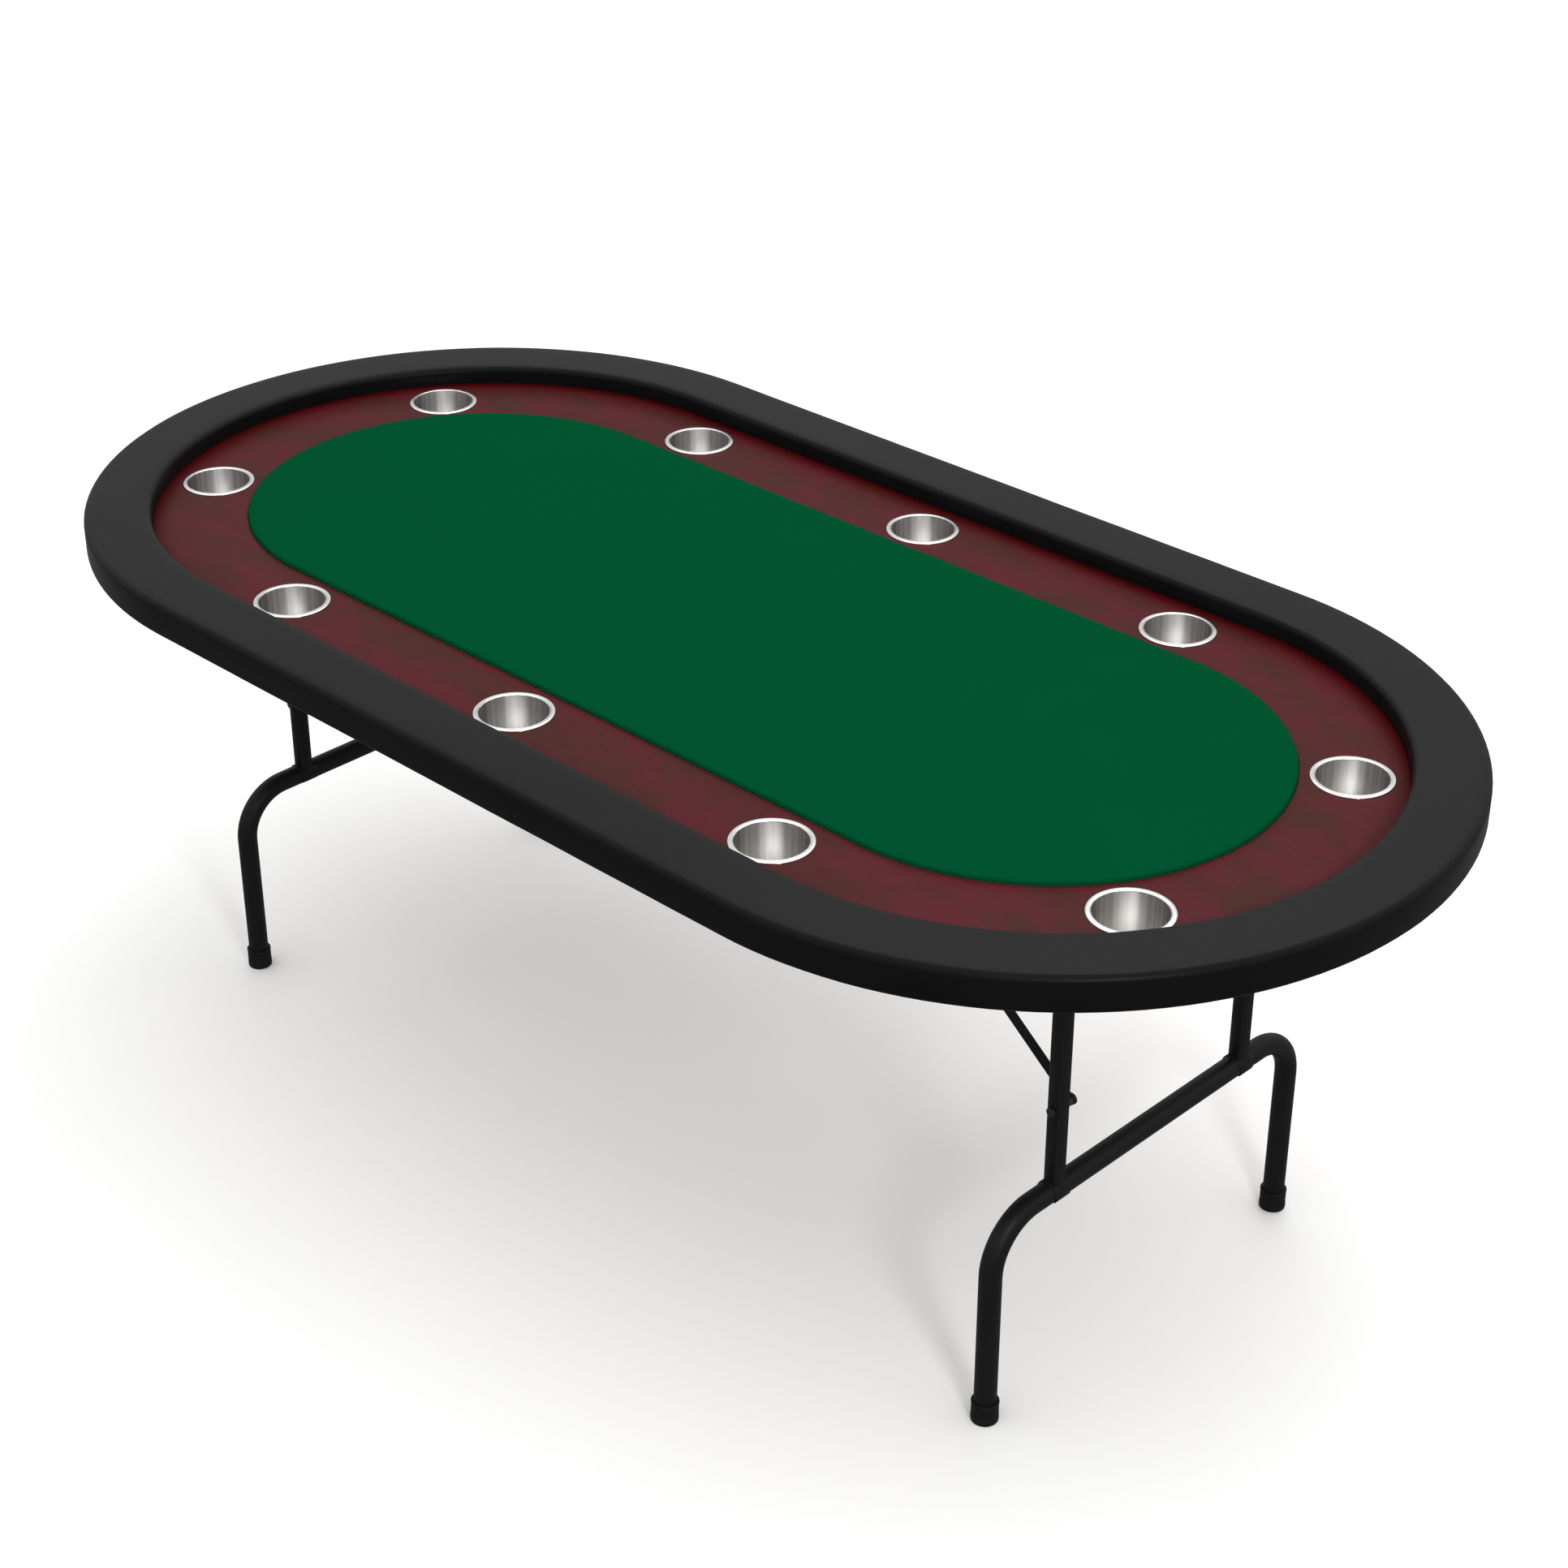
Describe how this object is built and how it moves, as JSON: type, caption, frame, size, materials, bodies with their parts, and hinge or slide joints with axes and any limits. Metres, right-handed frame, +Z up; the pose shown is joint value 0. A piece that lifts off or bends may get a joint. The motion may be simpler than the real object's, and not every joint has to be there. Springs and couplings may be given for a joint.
{
  "type": "poker table",
  "caption": "Racetrack-shaped poker table with padded rail, cloth playing surface, drop-in cup holders and folding steel leg frames with jackknife braces.",
  "frame": {"origin": "on the floor under the centre of the tabletop, with the table standing on its four feet", "axes": "+X along the table's length, +Y across it, +Z up"},
  "size_m": [2.1036, 1.067, 0.758],
  "materials": {
    "felt": "matt woven table cloth",
    "vinyl": "black grained vinyl, satin",
    "mahogany": "dark red-brown stain, satin lacquer",
    "plywood": "bare plywood",
    "foam": "open-cell foam, matt",
    "stainless": "brushed",
    "frame_steel": "black powder coat, satin",
    "foot_plastic": "black moulded plastic",
    "zinc": "bright zinc plate",
    "bolt_steel": "black oxide, satin"
  },
  "bodies": {
    "tabletop": {"deck_board": "plywood", "racetrack": "mahogany", "playfield_board": "plywood", "playfield_foam": "foam", "playfield_cloth": "felt", "rail_core": "plywood", "rail_foam": "foam", "rail_cover": "vinyl", "rail_screws": "zinc", "playfield_screws": "zinc", "cup_holder_1": "stainless", "cup_holder_2": "stainless", "cup_holder_3": "stainless", "cup_holder_4": "stainless", "cup_holder_5": "stainless", "cup_holder_6": "stainless", "cup_holder_7": "stainless", "cup_holder_8": "stainless", "cup_holder_9": "stainless", "cup_holder_10": "stainless", "leg_bracket_right_front": "frame_steel", "brace_bracket_right_front": "frame_steel", "leg_bracket_right_back": "frame_steel", "brace_bracket_right_back": "frame_steel", "leg_bracket_left_front": "frame_steel", "brace_bracket_left_front": "frame_steel", "leg_bracket_left_back": "frame_steel", "brace_bracket_left_back": "frame_steel", "leg_bracket_screws": "zinc", "brace_bracket_screws": "zinc", "brace_pins": "bolt_steel"},
    "leg_frame_right": {"leg_bow_right": "frame_steel", "pivot_tube_right": "frame_steel", "foot_caps_right": "foot_plastic", "brace_bolts_right": "bolt_steel", "upright_right_front": "frame_steel", "upright_right_back": "frame_steel"},
    "leg_frame_left": {"leg_bow_left": "frame_steel", "pivot_tube_left": "frame_steel", "foot_caps_left": "foot_plastic", "brace_bolts_left": "bolt_steel", "upright_left_front": "frame_steel", "upright_left_back": "frame_steel"},
    "upper_link_right_front": {"upper_link_right_front": "frame_steel"},
    "lower_link_right_front": {"lower_link_right_front": "frame_steel", "link_rivets_right_front": "bolt_steel"},
    "upper_link_right_back": {"upper_link_right_back": "frame_steel"},
    "lower_link_right_back": {"lower_link_right_back": "frame_steel", "link_rivets_right_back": "bolt_steel"},
    "upper_link_left_front": {"upper_link_left_front": "frame_steel"},
    "lower_link_left_front": {"lower_link_left_front": "frame_steel", "link_rivets_left_front": "bolt_steel"},
    "upper_link_left_back": {"upper_link_left_back": "frame_steel"},
    "lower_link_left_back": {"lower_link_left_back": "frame_steel", "link_rivets_left_back": "bolt_steel"}
  },
  "joints": [
    {"name": "leg_fold_right", "type": "hinge", "parent": "tabletop", "child": "leg_frame_right", "pos_m": [0.723, 0, 0.687], "axis": [0, 1, 0], "range_deg": [0, 90]},
    {"name": "brace_upper_right_front", "type": "hinge", "parent": "tabletop", "child": "upper_link_right_front", "pos_m": [0.3755, -0.1505, 0.687], "axis": [0, -1, 0], "range_deg": [0, 39]},
    {"name": "brace_lower_right_front", "type": "hinge", "parent": "upper_link_right_front", "child": "lower_link_right_front", "pos_m": [0.57493, -0.1595, 0.5255], "axis": [0, 1, 0], "range_deg": [0, 180]},
    {"name": "brace_upper_right_back", "type": "hinge", "parent": "tabletop", "child": "upper_link_right_back", "pos_m": [0.3755, 0.1505, 0.687], "axis": [0, -1, 0], "range_deg": [0, 39]},
    {"name": "brace_lower_right_back", "type": "hinge", "parent": "upper_link_right_back", "child": "lower_link_right_back", "pos_m": [0.57493, 0.1595, 0.5255], "axis": [0, 1, 0], "range_deg": [0, 180]},
    {"name": "leg_fold_left", "type": "hinge", "parent": "tabletop", "child": "leg_frame_left", "pos_m": [-0.723, 0, 0.687], "axis": [0, -1, 0], "range_deg": [0, 90]},
    {"name": "brace_upper_left_front", "type": "hinge", "parent": "tabletop", "child": "upper_link_left_front", "pos_m": [-0.3755, -0.1505, 0.687], "axis": [0, 1, 0], "range_deg": [0, 39]},
    {"name": "brace_lower_left_front", "type": "hinge", "parent": "upper_link_left_front", "child": "lower_link_left_front", "pos_m": [-0.57493, -0.1595, 0.5255], "axis": [0, -1, 0], "range_deg": [0, 180]},
    {"name": "brace_upper_left_back", "type": "hinge", "parent": "tabletop", "child": "upper_link_left_back", "pos_m": [-0.3755, 0.1505, 0.687], "axis": [0, 1, 0], "range_deg": [0, 39]},
    {"name": "brace_lower_left_back", "type": "hinge", "parent": "upper_link_left_back", "child": "lower_link_left_back", "pos_m": [-0.57493, 0.1595, 0.5255], "axis": [0, -1, 0], "range_deg": [0, 180]}
  ],
  "couplings": [
    {"joint": "brace_upper_right_front", "follows": "leg_fold_right", "ratio": 0.43333},
    {"joint": "brace_lower_right_front", "follows": "leg_fold_right", "ratio": 2},
    {"joint": "brace_upper_right_back", "follows": "leg_fold_right", "ratio": 0.43333},
    {"joint": "brace_lower_right_back", "follows": "leg_fold_right", "ratio": 2},
    {"joint": "brace_upper_left_front", "follows": "leg_fold_left", "ratio": 0.43333},
    {"joint": "brace_lower_left_front", "follows": "leg_fold_left", "ratio": 2},
    {"joint": "brace_upper_left_back", "follows": "leg_fold_left", "ratio": 0.43333},
    {"joint": "brace_lower_left_back", "follows": "leg_fold_left", "ratio": 2}
  ]
}
